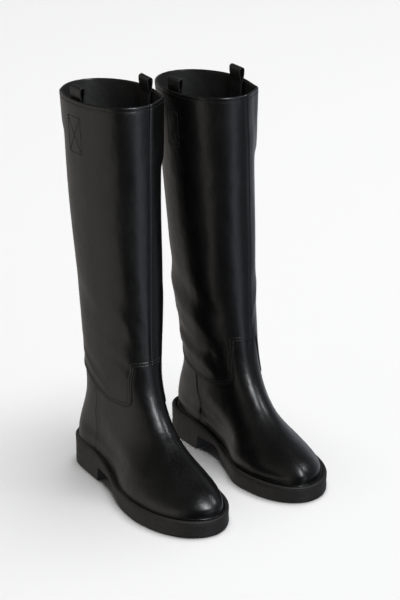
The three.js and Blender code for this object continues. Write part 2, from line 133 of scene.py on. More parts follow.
GIRTH = 330  # round the ankle and the shaft, to turn places into millimetres
FOOT_GIRTH = 420  # the same for the foot, at the counter's seams

# Fine steps away from an edge, so that its rounding is real geometry.
EDGE_STEPS = np.array([0, 0.1, 0.26, 0.5, 0.85, 1.4, 2.0, 2.7, 3.8, 4.8, 5.6, 6.4, 8.4])


# ---- helpers ----
def smooth(start, end, value):
    part = np.clip((value - start) / (end - start), 0, 1)
    return part * part * (3 - 2 * part)


def rounded_end(part):
    return np.sqrt(np.clip(1 - (1 - np.clip(part, 0, 1)) ** 2, 0, 1))


def bell(value, width):
    return np.exp(-((value / width) ** 2))


def through(table, place):
    """A smooth line through (place, value) pairs, with no overshoot between them."""
    xs, ys = np.array(table, float).T
    slopes = np.diff(ys) / np.diff(xs)
    tangents = np.empty_like(ys)
    tangents[0], tangents[-1] = slopes[0], slopes[-1]
    same_way = slopes[:-1] * slopes[1:] > 0
    harmonic = 2 * slopes[:-1] * slopes[1:] / np.where(same_way, slopes[:-1] + slopes[1:], 1)
    tangents[1:-1] = np.where(same_way, harmonic, 0)
    place = np.clip(place, xs[0], xs[-1])
    k = np.clip(np.searchsorted(xs, place, side="right") - 1, 0, len(xs) - 2)
    width = xs[k + 1] - xs[k]
    t = (place - xs[k]) / width
    return ((1 + 2 * t) * (1 - t) ** 2 * ys[k] + t * (1 - t) ** 2 * width * tangents[k]
            + t * t * (3 - 2 * t) * ys[k + 1] + t * t * (t - 1) * width * tangents[k + 1])


def unit(vectors):
    return vectors / np.maximum(np.linalg.norm(vectors, axis=-1, keepdims=True), 1e-9)


def blurred(grid, cells, axis, padding):
    """A Gaussian blur along one axis."""
    reach = int(3 * cells)
    kernel = bell(np.arange(-reach, reach + 1), cells * math.sqrt(2))
    kernel /= kernel.sum()
    grid = np.moveaxis(grid, axis, 0)
    padded = np.pad(grid, [(reach, reach), (0, 0), (0, 0)], **padding)
    total = sum(weight * padded[k:k + len(grid)] for k, weight in enumerate(kernel))
    return np.moveaxis(total, 0, axis)


def softened(grid, cells, axis, padding):
    """A blur that keeps the large shape."""
    once = blurred(grid, cells, axis, padding)
    return 2 * once - blurred(once, cells, axis, padding)


def run_along(points):
    steps = np.linalg.norm(np.diff(points, axis=0), axis=1)
    return np.concatenate([[0], np.cumsum(steps)])


def to_world(side, points):
    """Boot frame in millimetres to the frame's metres."""
    sign = -1 if side == "right" else 1
    shank_low, shank_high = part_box(f"{side}_steel_shank")
    aside, ahead, turned = STANCE[side]
    shank_shift = aside + math.sin(turned) * (sum(SHANK) / 2 - TURNING_V)
    centre_x = (shank_low.x + shank_high.x) / 2 - sign * shank_shift * MM
    heel_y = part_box(f"{side}_unit_sole")[1].y + ahead * MM
    x, v, z = np.moveaxis(np.asarray(points, float) * MM, -1, 0)
    return np.stack([centre_x + sign * x, heel_y - v, z], -1)


def stood(side, points, share=1.0):
    """Points of the foot after its displacement under the shaft, or a share of it."""
    aside, ahead, turned = STANCE[side]
    x, v, z = np.moveaxis(np.asarray(points, float), -1, 0)
    cosine, sine = np.cos(turned * share), np.sin(turned * share)
    return np.stack([cosine * x + sine * (v - TURNING_V) + aside * share,
                     cosine * (v - TURNING_V) - sine * x + TURNING_V + ahead * share, z], -1)


def unstood(side, points):
    """The foot's own plan again, [x, v], from points that stand displaced."""
    aside, ahead, turned = STANCE[side]
    x, v = points[:, 0] - aside, points[:, 1] - TURNING_V - ahead
    cosine, sine = math.cos(turned), math.sin(turned)
    return np.stack([cosine * x - sine * v, sine * x + cosine * v + TURNING_V], -1)


# ---- surface of the upper ----
def round_boot(half_name, place):
    """A place on one half as a place round the whole boot, or back."""
    return place if half_name == "outer" else 1 - place


def cubic_weights(part):
    """Weights of four even values, for a smooth line through them between the middle two."""
    return (-part / 2 + part ** 2 - part ** 3 / 2, 1 - 2.5 * part ** 2 + 1.5 * part ** 3,
            part / 2 + 2 * part ** 2 - 1.5 * part ** 3, -part ** 2 / 2 + part ** 3 / 2)


def ring_at(level):
    index = np.clip(np.floor(level), 0, TOPLINE - 1).astype(int)
    table = np.vstack([2 * RINGS[0] - RINGS[1], RINGS, 2 * RINGS[-1] - RINGS[-2]])
    return sum(weight[..., None] * table[index + k]
               for k, weight in enumerate(cubic_weights(level - index)))


def lines_point(side, around, level):
    turn = around % 1
    is_outer = turn <= 0.5
    half = np.where(is_outer, turn, 1 - turn)
    back_v, back_z, front_v, front_z, outer, inner, nose, tail = np.moveaxis(ring_at(level), -1, 0)
    along = (1 - np.cos(2 * np.pi * half)) / 2
    v = back_v + (front_v - back_v) * along
    foot = 1 - smooth(0, FOOT_FADES, level)
    narrowing = np.where(is_outer, *(through(table, v) for table in NARROWING.values()))
    width = np.where(is_outer, outer, inner) - foot * narrowing
    width = width * rounded_end((front_v - v) / nose) * rounded_end((v - back_v) / tail)
    x = np.where(is_outer, width, -width) - foot * TOE_SHIFT * smooth(*TOE_SHIFTS, v)
    rise = along + foot * (smooth(*ARCH, v) - along)
    z = back_z + (front_z - back_z) * rise
    leaning = np.maximum(0, z - ANKLE_Z) / (TOPLINE_Z - ANKLE_Z)
    outward, forward = LEAN[side]
    place = stood(side, np.stack([x, v, z], -1), 1 - smooth(0, STANCE_FADES, level))
    return place + np.stack([outward * leaning, forward * leaning, 0 * z], -1)


# Soft folds of the leather: places round the boot and heights of a fold's line, its height
# above the surface and its half width, in millimetres. Negative ones are hollows.
FOLDS = {
    "right": [
        ([(0.632, 484), (0.634, 455), (0.64, 405)], 2.5, 8),
        ([(0.582, 484), (0.586, 440)], -1.5, 13),
        ([(0.69, 484), (0.69, 430)], -1.8, 15),
        ([(0.14, 484), (0.14, 440)], 1.3, 8),
        ([(0.165, 163), (0.2, 152), (0.235, 140), (0.285, 129)], 0.95, 2.1),
        ([(0.15, 170), (0.2, 160), (0.25, 148), (0.3, 138)], -0.7, 7),
        ([(0.02, 146), (0.09, 142), (0.15, 141)], 0.4, 2),
        ([(0.03, 156), (0.1, 153), (0.16, 152)], -0.5, 4),
        ([(0.9, 150), (0.96, 147), (0.02, 147)], -0.9, 5),
        ([(0.2, 240), (0.28, 215), (0.36, 200)], -1.2, 14),
        ([(0.36, 232), (0.41, 215), (0.44, 196)], 0.8, 9),
        ([(0.3, 178), (0.36, 170), (0.4, 158)], -0.9, 7),
        ([(0.12, 420), (0.13, 340), (0.16, 260)], -0.7, 22),
        ([(0.36, 400), (0.37, 330), (0.36, 250)], -0.9, 18),
        ([(0.62, 400), (0.64, 330), (0.66, 260)], -1.1, 18),
        ([(0.7, 150), (0.78, 143), (0.84, 146)], 1.2, 6),
    ],
    "left": [
        ([(0.368, 484), (0.366, 455), (0.36, 405)], 2.5, 8),
        ([(0.418, 484), (0.414, 440)], -1.4, 13),
        ([(0.31, 484), (0.31, 430)], -1.8, 15),
        ([(0.84, 152), (0.8, 140), (0.745, 128), (0.69, 122)], 1.9, 7),
        ([(0.86, 168), (0.8, 156), (0.74, 146), (0.68, 141)], -1.8, 9),
        ([(0.86, 222), (0.8, 205), (0.73, 184), (0.66, 170)], 1.7, 11),
        ([(0.87, 250), (0.79, 232), (0.7, 212), (0.63, 200)], -1.4, 13),
        ([(0.98, 150), (0.92, 145), (0.87, 140)], 1.0, 4),
        ([(0.02, 158), (0.96, 156), (0.9, 153)], -0.9, 5),
        ([(0.41, 200), (0.45, 180), (0.48, 150)], -1.1, 7),
        ([(0.38, 230), (0.42, 205), (0.45, 170)], 0.9, 8),
        ([(0.86, 420), (0.85, 340), (0.83, 270)], -0.7, 22),
        ([(0.66, 410), (0.65, 330), (0.66, 260)], -0.9, 18),
        ([(0.36, 400), (0.35, 330), (0.34, 260)], -1.1, 18),
        ([(0.3, 160), (0.22, 148), (0.15, 146)], 1.2, 6),
    ],
}


def fold_height(side, around, height):
    """How far the folds lift the surface, at places round the boot and heights above the floor."""
    lift = np.zeros(np.broadcast(around, height).shape)
    for line, rise, reach in FOLDS[side]:
        nearest = np.full(lift.shape, FAR)
        for (place_a, z_a), (place_b, z_b) in zip(line[:-1], line[1:]):
            along = (place_b - place_a + 0.5) % 1 - 0.5
            from_a = ((around - place_a + 0.5) % 1 - 0.5) * GIRTH
            step = np.array([along * GIRTH, z_b - z_a])
            t = (from_a * step[0] + (height - z_a) * step[1]) / (step @ step)
            held = np.clip(t, 0, 1)
            gap = np.hypot(from_a - held * step[0], height - z_a - held * step[1])
            nearest = np.minimum(nearest, gap)
        lift += rise * bell(nearest, reach)
    # slackness of soft leather, too slight to read as a fold
    angle = 2 * np.pi * around
    slack = (np.sin(2 * angle + height / 61 + 0.7) + np.sin(3 * angle - height / 37 + 2.1)
             + np.sin(5 * angle + height / 29 + 4))
    return lift + 0.22 * slack * smooth(110, 190, height) * (1 - 0.4 * smooth(430, 478, height))


class Upper:
    """The outer surface of one boot's upper, as a fine grid that every layer samples."""

    AROUND_CELLS = 384
    LOWEST, HIGHEST, CELLS_PER_LEVEL = -0.5, 11.3, 26

    def __init__(self, side):
        self.side = side
        rows = round((self.HIGHEST - self.LOWEST) * self.CELLS_PER_LEVEL) + 1
        self.levels = np.linspace(self.LOWEST, self.HIGHEST, rows)
        turns = np.arange(self.AROUND_CELLS) / self.AROUND_CELLS
        around, level = np.meshgrid(turns, self.levels)
        grid = softened(lines_point(side, around, level), 7, 1, {"mode": "wrap"})
        grid = softened(grid, 9, 0, {"mode": "reflect", "reflect_type": "odd"})
        self.grid = grid
        lift = fold_height(side, around, grid[..., 2])
        self.grid = grid + self.outward(around, level) * lift[..., None]
        self.height_at_back = grid[:, 0, 2]
        self.arc_places = np.linspace(0, 1, 721)
        self.arc = run_along(self.sample(self.arc_places, ANKLE_LEVEL))
        self.per_level_top = float(self.speeds(0.25, 10.9)[1])

    def sample(self, around, level):
        around, level = np.broadcast_arrays(around, level)
        across = (around % 1) * self.AROUND_CELLS
        up = (level - self.LOWEST) * self.CELLS_PER_LEVEL
        column = np.floor(across).astype(int)
        row = np.clip(np.floor(up).astype(int), 1, len(self.grid) - 3)
        by_column = cubic_weights(across - column)
        by_row = cubic_weights(up - row)
        total = 0
        for r, row_weight in enumerate(by_row):
            for c, column_weight in enumerate(by_column):
                place = self.grid[row + r - 1, (column + c - 1) % self.AROUND_CELLS]
                total = total + (row_weight * column_weight)[..., None] * place
        return total

    def steps(self, around, level, turn, rise):
        """The surface's steps across a place: along it and up it."""
        return (self.sample(around + turn, level) - self.sample(around - turn, level),
                self.sample(around, level + rise) - self.sample(around, level - rise))

    def outward(self, around, level):
        along, upward = self.steps(around, level, 1 / self.AROUND_CELLS,
                                   1 / self.CELLS_PER_LEVEL)
        return unit(np.cross(along, upward))

    def at(self, around, level, out=0.0):
        return self.sample(around, level) + self.outward(around, level) * np.asarray(out)[..., None]

    def speeds(self, around, level):
        """Millimetres per turn and per level at a place."""
        turn, rise = 0.004, 0.04
        along, upward = self.steps(around, level, turn, rise)
        return (np.linalg.norm(along, axis=-1) / (2 * turn),
                np.linalg.norm(upward, axis=-1) / (2 * rise))

    def level_at(self, height):
        return np.interp(height, self.height_at_back, self.levels)


class Half:
    """Distances on one half of one boot, outer or inner, for the edges of the shaft panels."""

    def __init__(self, upper, name):
        self.upper, self.name = upper, name
        self.tongue_top = TONGUE_TOP[upper.side]
        self.places = np.linspace(0, 0.56, 113)
        turns = self.turn(self.places)
        run = np.interp(turns, upper.arc_places, upper.arc)
        self.arc = np.abs(run - run[0])
        self.per_level = upper.speeds(turns, self.edge(self.places) + 0.15)[1]
        self.top_per_level = float(upper.speeds(0.5, self.tongue_top)[1])

    def turn(self, place):
        return round_boot(self.name, place)

    def arc_of(self, place):
        return np.interp(place, self.places, self.arc)

    def place_of(self, arc):
        return np.interp(arc, self.arc, self.places)

    def edge(self, place):
        return through(PANEL_EDGE[self.name], place)

    def lapped(self, place):
        return self.edge(place) + LAP_WIDTH / self.scale(place)

    def side_arc(self, level):
        return self.arc_of(through(TONGUE_SIDE[self.name], level))

    def seam_arc(self, level):
        return self.arc_of(self.turn(through(FRONT_SEAM[self.upper.side], level)))

    def scale(self, place):
        return np.interp(place, self.places, self.per_level)

    def low(self, to_side, above_edge):
        """Place and level from millimetres to the tongue's side and above the lower edge."""
        a, b = CORNER_RADIUS - to_side, CORNER_RADIUS - above_edge
        corner = (a > 0) & (b > 0)
        reach = np.where(corner, np.maximum(a, b) / np.maximum(np.hypot(a, b), 1e-6), 1)
        to_side = np.where(corner, CORNER_RADIUS - a * reach, to_side)
        above_edge = np.where(corner, CORNER_RADIUS - b * reach, above_edge)
        place = np.full(np.broadcast(to_side, above_edge).shape, 0.36)
        for _ in range(12):
            level = self.edge(place) + above_edge / self.scale(place)
            place = self.place_of(self.side_arc(level) - to_side)
        return place, level

    def high(self, to_side, above_top):
        """Place and level from millimetres to the tongue's side and above the tongue's top."""
        level = self.tongue_top + above_top / self.top_per_level
        return self.place_of(self.side_arc(level) - to_side), level

    def depth(self, place, level):
        """Millimetres inside a shaft panel's edge; negative outside the panel."""
        above_edge = (level - self.edge(place)) * self.scale(place)
        to_side = self.side_arc(level) - self.arc_of(place)
        a, b = CORNER_RADIUS - to_side, CORNER_RADIUS - above_edge
        inside = np.where((a > 0) & (b > 0), CORNER_RADIUS - np.hypot(a, b),
                          np.minimum(to_side, above_edge))
        return np.maximum(inside, (level - self.tongue_top) * self.top_per_level)


def panel_lift(depth):
    """Height of a shaft panel's face above the plain surface, by the distance to its edge."""
    return 0.12 + 1.05 * np.exp(-np.maximum(depth, 0) / 7)


def rolled_edge(distance, radius):
    """How far a cut or turned edge rolls in, at a distance from it."""
    part = np.clip(distance / radius, 0, 1)
    return radius * (1 - np.sqrt(1 - (1 - part) ** 2))


# ---- meshes ----
def linked(name, data):
    item = bpy.data.objects.new(name, data)
    bpy.context.scene.collection.objects.link(item)
    return item


def mesh_piece(side, name, points, faces, material):
    """A mesh object from points in the boot frame. The left boot's faces are turned, because
    it is the mirror image of the right one."""
    world = to_world(side, points)
    mesh = bpy.data.meshes.new(f"{side}_{name}")
    if side == "left":
        faces = [face[::-1] for face in faces]
    mesh.from_pydata(world.tolist(), [], [list(face) for face in faces])
    mesh.materials.append(MATERIALS[material])
    rest = mesh.attributes.new("rest_place", "FLOAT_VECTOR", "POINT")
    rest.data.foreach_set("vector", world.astype(np.float32).ravel())
    mesh.shade_smooth()
    mesh.update()
    return linked(f"{side}_{name}", mesh)


def shell(outer, inner, cells=None, wrap=False):
    """A closed body between two grids of points, [row, column], over the cells that are kept."""
    rows, columns = outer.shape[:2]
    column_cells = columns if wrap else columns - 1
    if cells is None:
        cells = np.ones((rows - 1, column_cells), bool)
    index = np.arange(rows * columns).reshape(rows, columns)
    following = np.roll(index, -1, axis=1)[:, :column_cells]
    index = index[:, :column_cells]
    quads = np.stack([index[:-1], following[:-1], following[1:], index[1:]], -1)[cells]
    padded = np.pad(cells, 1)
    if wrap:
        padded[1:-1, 0], padded[1:-1, -1] = cells[:, -1], cells[:, 0]
    neighbours = (padded[:-2, 1:-1], padded[1:-1, 2:], padded[2:, 1:-1], padded[1:-1, :-2])
    offset = rows * columns
    walls = []
    for side, kept in enumerate(neighbours):
        open_side = quads[~kept[cells]]
        a, b = open_side[:, side], open_side[:, (side + 1) % 4]
        walls.append(np.stack([b, a, a + offset, b + offset], -1))
    faces = np.concatenate([quads, quads[:, ::-1] + offset, *walls])
    used, faces = np.unique(faces, return_inverse=True)
    points = np.concatenate([outer.reshape(-1, 3), inner.reshape(-1, 3)])[used]
    return points, faces.reshape(-1, 4)


def ring_quads(rows, count):
    """Quads between rings of points, given bottom up."""
    start = np.arange(rows - 1)[:, None] * count
    step = np.arange(count)[None, :]
    following = (step + 1) % count
    return np.stack([start + step, start + following, start + count + following,
                     start + count + step], -1).reshape(-1, 4)


def mended(piece, merge=None):
    """Merges points that share a place, or else turns every face outward."""
    work = bmesh.new()
    work.from_mesh(piece.data)
    if merge:
        bmesh.ops.remove_doubles(work, verts=work.verts, dist=merge)
    else:
        bmesh.ops.recalc_face_normals(work, faces=work.faces)
    work.to_mesh(piece.data)
    work.free()
    piece.data.shade_smooth()
    return piece


def ringed(side, name, rings, material, groove=(0, 0)):
    """A closed piece of the foot through rings of points, whose faces between two given rings get a
    darker leather: painted shade in a groove.
    """
    count = len(rings[0])
    points = stood(side, np.concatenate(rings))
    piece = mesh_piece(side, name, points, ring_quads(len(rings), count), material)
    if any(groove):
        piece.data.materials.append(MATERIALS["groove"])
    for face in piece.data.polygons[groove[0] * count:groove[1] * count]:
        face.material_index = 1
    return mended(piece, SAME_PLACE)


def layer(upper, name, around, level, face, back, material, **how):
    """A closed skin between two heights over the upper's surface."""
    points, faces = shell(upper.at(around, level, face), upper.at(around, level, back), **how)
    return mesh_piece(upper.side, name, points, faces, material)


def clustered(length, steps, spacing):
    """Places from 0 to length, fine at both ends."""
    middle_count = max(2, round((length - 2 * steps[-1]) / spacing))
    middle = np.linspace(steps[-1], length - steps[-1], middle_count + 1)
    return np.concatenate([steps[:-1], middle, (length - steps[:-1])[::-1]])


# ---- pieces of the upper ----
PANEL_CELL = 2.6
LINING_CELLS = 200
VAMP_ROW = 2.2  # stitch channel, from the vamp's back edge
TONGUE_RISES = (0.352, 0.405)  # places where the vamp's top rises into its tongue
COUNTER_WIDTH = 177
# Columns of the counter, from its edge under the vamp: fine where the seam shows.
COUNTER_STEPS = np.array([0, 4, 6.5, 7.6, 8.3, 8.7, 9.0, 9.3, 9.6, 10.0, 10.6, 11.6, 13.2])
PANEL_ROWS = (2.0, 5.6)  # stitch rows, from a shaft panel's edge


def panel_depth(halves, around, level):
    place = np.minimum(around, 1 - around)
    return np.where(around <= 0.5, *(half.depth(place, level) for half in halves.values()))


def under_panel(surface, depth):
    """Sinks a surface below the shaft panels where they cover it."""
    covered = panel_lift(depth) - LEATHER - 0.1
    return surface + (np.minimum(surface, covered) - surface) * smooth(-1.2, 0.2, depth)


def vamp_lift(inset, depth):
    return 0.95 * np.exp(-np.maximum(inset, 0) / 5) * (1 - 0.72 * smooth(-7, 2, depth))


def seam_grid(fractions, rows, ends, ends_at, top):
    """Places and levels up to a top line, between two seams that lean."""
    climb = np.linspace(0, 1, rows)[:, None]
    for _ in range(4):
        around = ends[0] + (ends[1] - ends[0]) * fractions
        level = BELOW_FEATHER + (top(around) - BELOW_FEATHER) * climb
        ends = ends_at(level)
    return ends[0] + (ends[1] - ends[0]) * fractions, level


def vamp(upper, halves):
    def top(around):
        place = np.minimum(around, 1 - around)
        return np.where(around <= 0.5, *(
            np.maximum(half.lapped(place), half.edge(place) + (
                half.tongue_top + LAP_WIDTH / half.top_per_level - half.edge(place))
                * smooth(*TONGUE_RISES, place)) for half in halves.values()))

    def seams(level):
        return through(COUNTER_SEAM["outer"], level), 1 - through(COUNTER_SEAM["inner"], level)

    fractions = clustered(1, EDGE_STEPS[:-1] / FOOT_GIRTH, 1 / 170)[None, :]
    around, level = seam_grid(fractions, 84, (0.18, 0.82), seams, top)
    start, end = seams(level)
    inset = np.minimum(around - start, end - around) * upper.speeds(0.19 + 0 * level, level)[0]
    depth = panel_depth(halves, around, level)
    row = inset - VAMP_ROW
    sewn = 0.1 * bell(row - 1.9, 1.2) - 0.24 * bell(row, 0.7)
    lift = vamp_lift(inset, depth)
    face = under_panel(lift + sewn - rolled_edge(inset, 1.1), depth)
    back = under_panel(lift, depth) - LEATHER
    return layer(upper, "vamp_leather", around, level, face, back, "leather")


def counter(upper, halves):
    lap = LAP_WIDTH / FOOT_GIRTH

    def top(around):
        place = np.abs(around)
        return np.where(around >= 0, *(half.lapped(place) for half in halves.values()))

    def seams(level):
        return (-through(COUNTER_SEAM["inner"], level) - lap,
                through(COUNTER_SEAM["outer"], level) + lap)

    fractions = clustered(1, COUNTER_STEPS / COUNTER_WIDTH, 1 / 60)[None, :]
    around, level = seam_grid(fractions, 44, (-0.2, 0.2), seams, top)
    turn = around % 1
    depth = panel_depth(halves, turn, level)
    inset = np.where(turn < 0.5, turn - through(COUNTER_SEAM["outer"], level),
                     1 - through(COUNTER_SEAM["inner"], level) - turn) * FOOT_GIRTH
    covered = vamp_lift(inset, depth) - LEATHER - 0.1
    groove = 1.1 * bell(inset + 0.5, 0.95)
    face = np.minimum(0, covered) * smooth(-1.4, -0.2, inset) - groove
    face = under_panel(face, depth)
    return layer(upper, "counter_leather", around, level, face, face - LEATHER, "leather")


def seam_relief(distance, along):
    """A closed seam: a narrow groove between two soft ridges, with small puckers."""
    groove = -1.05 * bell(distance, 0.9)
    ridge = 0.3 * bell(distance - 3, 2.2)
    pucker = 0.16 * np.sin(along / 0.85 + 1.6 * np.sin(along / 11)) * np.exp(-distance / 4)
    return groove + ridge + pucker * smooth(0.8, 1.8, distance)


def stitch_channels(depth):
    """Shallow channels along the two stitch rows, with the leather raised between them."""
    channels = sum(bell(depth - row, 0.75) for row in PANEL_ROWS)
    return 0.16 * bell(depth - sum(PANEL_ROWS) / 2, 1.3) - 0.26 * channels


def shaft_panel(upper, half):
    """One shaft panel, from the back seam round to the front seam, cut out for the tongue."""
    side_width = float(half.side_arc(half.tongue_top))
    behind = clustered(side_width, EDGE_STEPS, PANEL_CELL)[::-1]  # millimetres to the tongue's side
    before = clustered(1, EDGE_STEPS[:8] / 26, 1 / 12)[1:]  # part of the way to the front seam

    # below the tongue's top: rows from the lower edge up, the last exactly on the top's level
    start_place = half.place_of(side_width - behind)
    full = (half.tongue_top - half.edge(start_place)) * half.scale(start_place)
    rise = np.linspace(0, 1, 18)[:, None]
    above = np.concatenate([EDGE_STEPS[:-1, None] + 0 * behind,
                            EDGE_STEPS[-1] + (full - EDGE_STEPS[-1]) * rise])
    low_place, low_level = half.low(behind + 0 * above, above)
    low_place[-1], low_level[-1] = start_place, half.tongue_top

    # above it: rows up to the topline
    steps_up = half.tongue_top + EDGE_STEPS[1:] / half.top_per_level
    steps_down = TOPLINE - EDGE_STEPS[::-1] / upper.per_level_top
    start, first, last = np.interp([half.tongue_top, steps_up[-1], steps_down[0]],
                                   upper.levels, upper.height_at_back)
    heights = np.linspace(first, last, round((last - start) / PANEL_CELL))
    levels = np.concatenate([steps_up[:-1], upper.level_at(heights), steps_down[1:]])
    high_level = levels[:, None] + 0 * behind
    high_place = half.place_of(half.side_arc(high_level) * (1 - behind / side_width))

    place = np.concatenate([low_place, high_place])
    level = np.concatenate([low_level, high_level])
    # the strip between the tongue's side line and the front seam, for every row
    side_arc, seam_arc = half.side_arc(level[:, -1:]), half.seam_arc(level[:, -1:])
    place = np.hstack([place, half.place_of(side_arc + (seam_arc - side_arc) * before)])
    level = np.hstack([level, level[:, -1:] + 0 * before])
    cells = np.ones((len(level) - 1, place.shape[1] - 1), bool)
    cells[:len(low_level) - 1, len(behind) - 1:] = False

    turn = half.turn(place)
    depth = np.maximum(half.depth(place, level), 0)
    height = upper.sample(turn, level)[..., 2]
    to_front = np.maximum(half.seam_arc(level) - half.arc_of(place), 0)
    to_back = half.arc_of(place)
    below_top = (TOPLINE - level) * upper.per_level_top
    face = (panel_lift(depth) - rolled_edge(depth, 0.6) + stitch_channels(depth)
            + seam_relief(to_front, height) + seam_relief(to_back, height + 5)
            - rolled_edge(below_top, 1.5)
            - 0.3 * bell(below_top - TOPLINE_ROW, 1.1) + 0.12 * bell(below_top - 2.4, 1.6))
    turned = 1.1 * (1 - smooth(12, 14, below_top))  # the topline is folded over
    back = panel_lift(depth) - LEATHER - turned + rolled_edge(below_top, 0.9)
    back = np.minimum(back, face - 0.25)
    order = 1 if half.name == "outer" else -1
    turn, level, face, back, cells = (grid[:, ::order] for grid in (turn, level, face, back, cells))
    return layer(upper, f"shaft_{half.name}_leather", turn, level, face, back, "leather",
                 cells=cells)


def lining(upper, name, levels, depth, thickness, material, rows, edge_radius, ripple):
    """A skin inside the upper, all the way round between two levels."""
    low, high = levels
    climb = clustered(1, EDGE_STEPS[:5] / LINING_CELLS, 1 / rows)[:, None]
    around, level = np.broadcast_arrays(np.arange(LINING_CELLS) / LINING_CELLS,
                                        low + (high - low) * climb)
    angle = 2 * np.pi * around
    height = upper.sample(around, level)[..., 2]
    folds = (np.sin(9 * angle + height / 40) + np.sin(14 * angle - height / 33 + 1)
             + np.sin(5 * angle + 2)) / 3
    inside = depth + ripple * (0.5 + 0.5 * folds) * smooth(0, 0.03, climb) * (
        1 - smooth(0.93, 1, climb))
    edge_gap = np.minimum(climb, 1 - climb) * LINING_CELLS
    face = -inside - rolled_edge(edge_gap, edge_radius)
    back = -inside - thickness + rolled_edge(edge_gap, edge_radius)
    return layer(upper, name, around, level, face, back, material, wrap=True)


# ---- stitches ----
def stitch_form():
    """One stitch, as rings of points: along from -0.5 to 0.5, up and across in thread radii."""
    stations = [(-0.5, -1.1, 0.45), (-0.46, -0.35, 0.85), (-0.3, 0.3, 1), (0, 0.5, 1),
                (0.3, 0.3, 1), (0.46, -0.35, 0.85), (0.5, -1.1, 0.45)]
    sides = 8
    angles = np.arange(sides) / sides * 2 * np.pi
    rings = [np.stack([np.full(sides, along), up + size * np.sin(angles),
                       size * np.cos(angles)], -1) for along, up, size in stations]
    points = np.concatenate(rings)
    last = range(len(points) - sides, len(points))
    faces = ring_quads(len(stations), sides).tolist() + [list(range(sides))[::-1], list(last)]
    return points, faces


STITCH_POINTS, STITCH_FACES = stitch_form()


def along_path(at, run, values):
    return np.stack([np.interp(at, run, values[:, k]) for k in range(3)], -1)


def stitch_rows(side, name, rows, length=2.7, gap=0.9, radius=0.4):
    """Stitches along rows of (points, outward directions) on the leather."""
    all_points, all_faces = [], []
    for path, normals in rows:
        run = run_along(path)
        count = max(1, round(run[-1] / (length + gap)))
        centres = (np.arange(count) + 0.5) * run[-1] / count
        ahead, behind = (along_path(centres + reach, run, path)
                         for reach in (length / 2, -length / 2))
        along = unit(ahead - behind)
        up = unit(along_path(centres, run, normals))
        up = unit(up - along * (up * along).sum(-1, keepdims=True))
        frame_of = np.stack([along * length, up * radius, np.cross(along, up) * radius], 1)
        all_points += list(along_path(centres, run, path)[:, None] + STITCH_POINTS @ frame_of)
    for offset in range(0, len(all_points) * len(STITCH_POINTS), len(STITCH_POINTS)):
        all_faces += [[offset + corner for corner in face] for face in STITCH_FACES]
    return mesh_piece(side, name, np.concatenate(all_points), all_faces, "thread")


def on_surface(upper, turn, level, out):
    return upper.at(turn, level, out), upper.outward(turn, level)


def panel_stitch_path(upper, half, inset):
    """The line a set distance inside a shaft panel's edge, from the back seam to the front."""
    width = float(half.side_arc(half.edge(0.3)))
    reach = (half.tongue_top - half.edge(0.4)) * half.scale(0.4)
    end = float(half.side_arc(half.tongue_top) - half.seam_arc(half.tongue_top))
    place, level = half.low(np.full(30, inset), np.linspace(inset, reach, 30))
    keep = level < half.tongue_top
    angle = np.linspace(0, np.pi / 2, 7)
    pieces = [
        half.low(np.linspace(width - 4, inset, 90), np.full(90, inset)),
        (place[keep], level[keep]),
        half.high(inset * np.cos(angle), inset * np.sin(angle)),
        half.high(np.linspace(0, end + 2.5, 16)[1:], np.full(15, inset)),
    ]
    place, level = (np.concatenate(values) for values in zip(*pieces))
    raised = panel_lift(np.full_like(place, inset)) + stitch_channels(inset)
    return on_surface(upper, half.turn(place), level, raised)


LOOP_BOX = {"outer": ((0.222, 0.281), (412, 456)), "inner": ((0.236, 0.286), (407, 451))}


def box_stitch_paths(upper, half_name, out):
    """A box with both diagonals, which holds a pull loop's legs."""
    (place_a, place_b), (z_low, z_high) = LOOP_BOX[half_name]
    low, high = (float(upper.level_at(z)) for z in (z_low, z_high))
    corners = [(place_a, low), (place_b, low), (place_b, high), (place_a, high)]
    for start, end in ((0, 1), (1, 2), (2, 3), (3, 0), (0, 2), (1, 3)):
        place, level = np.linspace(corners[start], corners[end], 24).T
        yield on_surface(upper, round_boot(half_name, place), level, out)


# ---- pull loops ----
LOOP_WIDTH = 24
LOOP_BAND = 1.5
LOOP_TOP = 13.5  # above the topline
LOOP_ACROSS = 7.6
LOOP_LEGS = (6.35, 7.9)  # depth of the two legs under the shaft's face
LOOP_BELOW_BOX = 3
UP = np.array([0, 0, 1.0])


def loop_line(bottom, leg_depth):
    """A loop's centre line, up one leg, over and down: distances inward from the middle, and
    heights from the topline."""
    radius = (LOOP_ACROSS - LOOP_BAND) / 2
    arch_z = LOOP_TOP - LOOP_BAND / 2 - radius
    rise = np.concatenate([np.linspace(bottom, -9, 18), np.linspace(-7, arch_z, 12)])
    apart = LOOP_LEGS[1] - leg_depth
    spread = apart + (radius - apart) * smooth(-9, arch_z * 0.8, rise)
    angles = np.linspace(0, np.pi, 15)[1:-1]
    return (np.concatenate([-spread, -radius * np.cos(angles), spread[::-1]]),
            np.concatenate([rise, arch_z + radius * np.sin(angles), rise[::-1]]))


